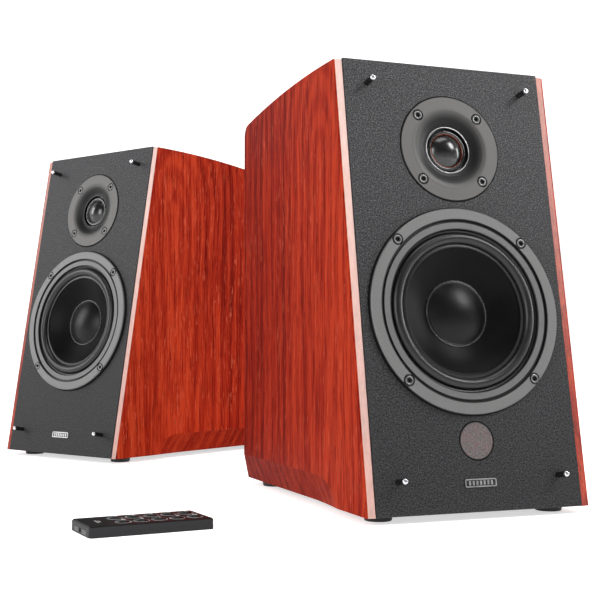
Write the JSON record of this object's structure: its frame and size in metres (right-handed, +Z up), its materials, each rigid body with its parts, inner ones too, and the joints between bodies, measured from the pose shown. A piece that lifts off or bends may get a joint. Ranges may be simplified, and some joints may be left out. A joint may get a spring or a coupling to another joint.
{
  "type": "desktop speakers",
  "caption": "Pair of powered two-way desktop speakers with leaning dark baffles, red-wood sides, exposed cone woofers and dome tweeters, and a slim card remote.",
  "frame": {"origin": "on the desktop, under the middle of the box round the two speakers and the remote as they stand", "axes": "+Z up; -Y the way the active speaker faces; +X to the right of someone looking at its front"},
  "size_m": [0.3496, 0.7156, 0.3177],
  "materials": {
    "wood_veneer": "gloss lacquer over red veneer, upright grain",
    "black_board": "black vinyl-wrapped board",
    "dark_baffle": "dark grey fine-textured board",
    "grey_frame": "satin grey",
    "rubber_surround": "smooth matt rubber",
    "black_cone": "smooth black cone",
    "black_cap": "satin black cap",
    "spider_cloth": "varnished cloth",
    "motor_steel": "plated steel and dark ferrite",
    "grey_faceplate": "satin grey",
    "silk_dome": "coated silk, glossy",
    "black_plastic": "satin moulded plastic",
    "bright_pegs": "bright",
    "rubber_feet": "matt",
    "dark_screws": "blackened with bright rims",
    "tinted_window": "tinted, gloss",
    "plate_paint": "fine black powder coat",
    "circuit_board": "solder mask",
    "transformer_tape": "taped windings",
    "knob_plastic": "satin black",
    "switch_plastic": "gloss black",
    "plated_sockets": "plated",
    "remote_gloss": "gloss black",
    "cell_steel": "bright",
    "button_gloss": "gloss dome"
  },
  "bodies": {
    "active_cabinet": {"active_side_left": "wood_veneer", "active_side_right": "wood_veneer", "active_carcass": "black_board", "active_front_baffle": "dark_baffle", "active_woofer_basket": "grey_frame", "active_woofer_surround": "rubber_surround", "active_woofer_spider": "spider_cloth", "active_driver_motors": "motor_steel", "active_tweeter_faceplate": "grey_faceplate", "active_port_tube": "black_plastic", "active_grille_pegs": "bright_pegs", "active_feet": "rubber_feet", "active_screws": "dark_screws", "active_receiver_window": "tinted_window", "active_amp_plate": "plate_paint", "active_amp_board": "circuit_board", "active_transformer": "transformer_tape", "active_mains_inlet": "black_plastic", "active_phono_sockets": "plated_sockets", "active_link_socket": "black_plastic"},
    "active_woofer_diaphragm": {"active_woofer_cone": "black_cone", "active_dust_cap": "black_cap"},
    "active_tweeter_diaphragm": {"active_tweeter_dome": "silk_dome"},
    "volume_control": {"active_volume_knob": "knob_plastic"},
    "treble_control": {"active_treble_knob": "knob_plastic"},
    "bass_control": {"active_bass_knob": "knob_plastic"},
    "power_switch": {"active_power_rocker": "switch_plastic"},
    "passive_cabinet": {"passive_side_left": "wood_veneer", "passive_side_right": "wood_veneer", "passive_carcass": "black_board", "passive_front_baffle": "dark_baffle", "passive_woofer_basket": "grey_frame", "passive_woofer_surround": "rubber_surround", "passive_woofer_spider": "spider_cloth", "passive_driver_motors": "motor_steel", "passive_tweeter_faceplate": "grey_faceplate", "passive_port_tube": "black_plastic", "passive_grille_pegs": "bright_pegs", "passive_feet": "rubber_feet", "passive_screws": "dark_screws", "passive_terminal_plate": "black_plastic", "passive_link_socket": "black_plastic"},
    "passive_woofer_diaphragm": {"passive_woofer_cone": "black_cone", "passive_dust_cap": "black_cap"},
    "passive_tweeter_diaphragm": {"passive_tweeter_dome": "silk_dome"},
    "remote": {"remote_shell": "remote_gloss", "remote_board": "circuit_board"},
    "remote_tray": {"remote_battery_tray": "remote_gloss", "remote_coin_cell": "cell_steel"},
    "remote_key_01": {"remote_button_01": "button_gloss"},
    "remote_key_02": {"remote_button_02": "button_gloss"},
    "remote_key_03": {"remote_button_03": "button_gloss"},
    "remote_key_04": {"remote_button_04": "button_gloss"},
    "remote_key_05": {"remote_button_05": "button_gloss"},
    "remote_key_06": {"remote_button_06": "button_gloss"},
    "remote_key_07": {"remote_button_07": "button_gloss"},
    "remote_key_08": {"remote_button_08": "button_gloss"},
    "remote_key_09": {"remote_button_09": "button_gloss"},
    "remote_key_10": {"remote_button_10": "button_gloss"}
  },
  "joints": [
    {"name": "active_woofer_stroke", "type": "slide", "parent": "active_cabinet", "child": "active_woofer_diaphragm", "axis": [0, -0.9848, 0.1736], "range_m": [-0.003, 0.003], "stiffness_N_per_m": 1400, "deforming": ["active_woofer_surround", "active_woofer_spider"]},
    {"name": "active_tweeter_stroke", "type": "slide", "parent": "active_cabinet", "child": "active_tweeter_diaphragm", "axis": [0, -0.9848, 0.1736], "range_m": [-0.0003, 0.0003], "stiffness_N_per_m": 150},
    {"name": "passive_woofer_stroke", "type": "slide", "parent": "passive_cabinet", "child": "passive_woofer_diaphragm", "axis": [-0.8529, -0.4924, 0.1736], "range_m": [-0.003, 0.003], "stiffness_N_per_m": 1400, "deforming": ["passive_woofer_surround", "passive_woofer_spider"]},
    {"name": "passive_tweeter_stroke", "type": "slide", "parent": "passive_cabinet", "child": "passive_tweeter_diaphragm", "axis": [-0.8529, -0.4924, 0.1736], "range_m": [-0.0003, 0.0003], "stiffness_N_per_m": 150},
    {"name": "volume_turn", "type": "hinge", "parent": "active_cabinet", "child": "volume_control", "pos_m": [0.12981, -0.09728, 0.188], "axis": [0, -1, 0], "continuous": true},
    {"name": "treble_turn", "type": "hinge", "parent": "active_cabinet", "child": "treble_control", "pos_m": [0.08981, -0.09728, 0.188], "axis": [0, -1, 0], "range_deg": [-150, 150]},
    {"name": "bass_turn", "type": "hinge", "parent": "active_cabinet", "child": "bass_control", "pos_m": [0.04981, -0.09728, 0.188], "axis": [0, -1, 0], "range_deg": [-150, 150]},
    {"name": "power_rock", "type": "hinge", "parent": "active_cabinet", "child": "power_switch", "pos_m": [0.05981, -0.09828, 0.052], "axis": [1, 0, 0], "range_deg": [0, 18]},
    {"name": "passive_spacing", "type": "slide", "parent": "active_cabinet", "child": "passive_cabinet", "axis": [-1, 0, 0], "range_m": [0, 0.2]},
    {"name": "remote_pick_up", "type": "slide", "parent": "active_cabinet", "child": "remote", "axis": [0, 0, 1], "range_m": [0, 0.1]},
    {"name": "remote_tray_pull", "type": "slide", "parent": "remote", "child": "remote_tray", "axis": [-0.9945, -0.1045, 0], "range_m": [0, 0.024]},
    {"name": "remote_key_01_press", "type": "slide", "parent": "remote", "child": "remote_key_01", "axis": [0, 0, -1], "range_m": [0, 0.0006], "stiffness_N_per_m": 250},
    {"name": "remote_key_02_press", "type": "slide", "parent": "remote", "child": "remote_key_02", "axis": [0, 0, -1], "range_m": [0, 0.0006], "stiffness_N_per_m": 250},
    {"name": "remote_key_03_press", "type": "slide", "parent": "remote", "child": "remote_key_03", "axis": [0, 0, -1], "range_m": [0, 0.0006], "stiffness_N_per_m": 250},
    {"name": "remote_key_04_press", "type": "slide", "parent": "remote", "child": "remote_key_04", "axis": [0, 0, -1], "range_m": [0, 0.0006], "stiffness_N_per_m": 250},
    {"name": "remote_key_05_press", "type": "slide", "parent": "remote", "child": "remote_key_05", "axis": [0, 0, -1], "range_m": [0, 0.0006], "stiffness_N_per_m": 250},
    {"name": "remote_key_06_press", "type": "slide", "parent": "remote", "child": "remote_key_06", "axis": [0, 0, -1], "range_m": [0, 0.0006], "stiffness_N_per_m": 250},
    {"name": "remote_key_07_press", "type": "slide", "parent": "remote", "child": "remote_key_07", "axis": [0, 0, -1], "range_m": [0, 0.0006], "stiffness_N_per_m": 250},
    {"name": "remote_key_08_press", "type": "slide", "parent": "remote", "child": "remote_key_08", "axis": [0, 0, -1], "range_m": [0, 0.0006], "stiffness_N_per_m": 250},
    {"name": "remote_key_09_press", "type": "slide", "parent": "remote", "child": "remote_key_09", "axis": [0, 0, -1], "range_m": [0, 0.0006], "stiffness_N_per_m": 250},
    {"name": "remote_key_10_press", "type": "slide", "parent": "remote", "child": "remote_key_10", "axis": [0, 0, -1], "range_m": [0, 0.0006], "stiffness_N_per_m": 250}
  ]
}
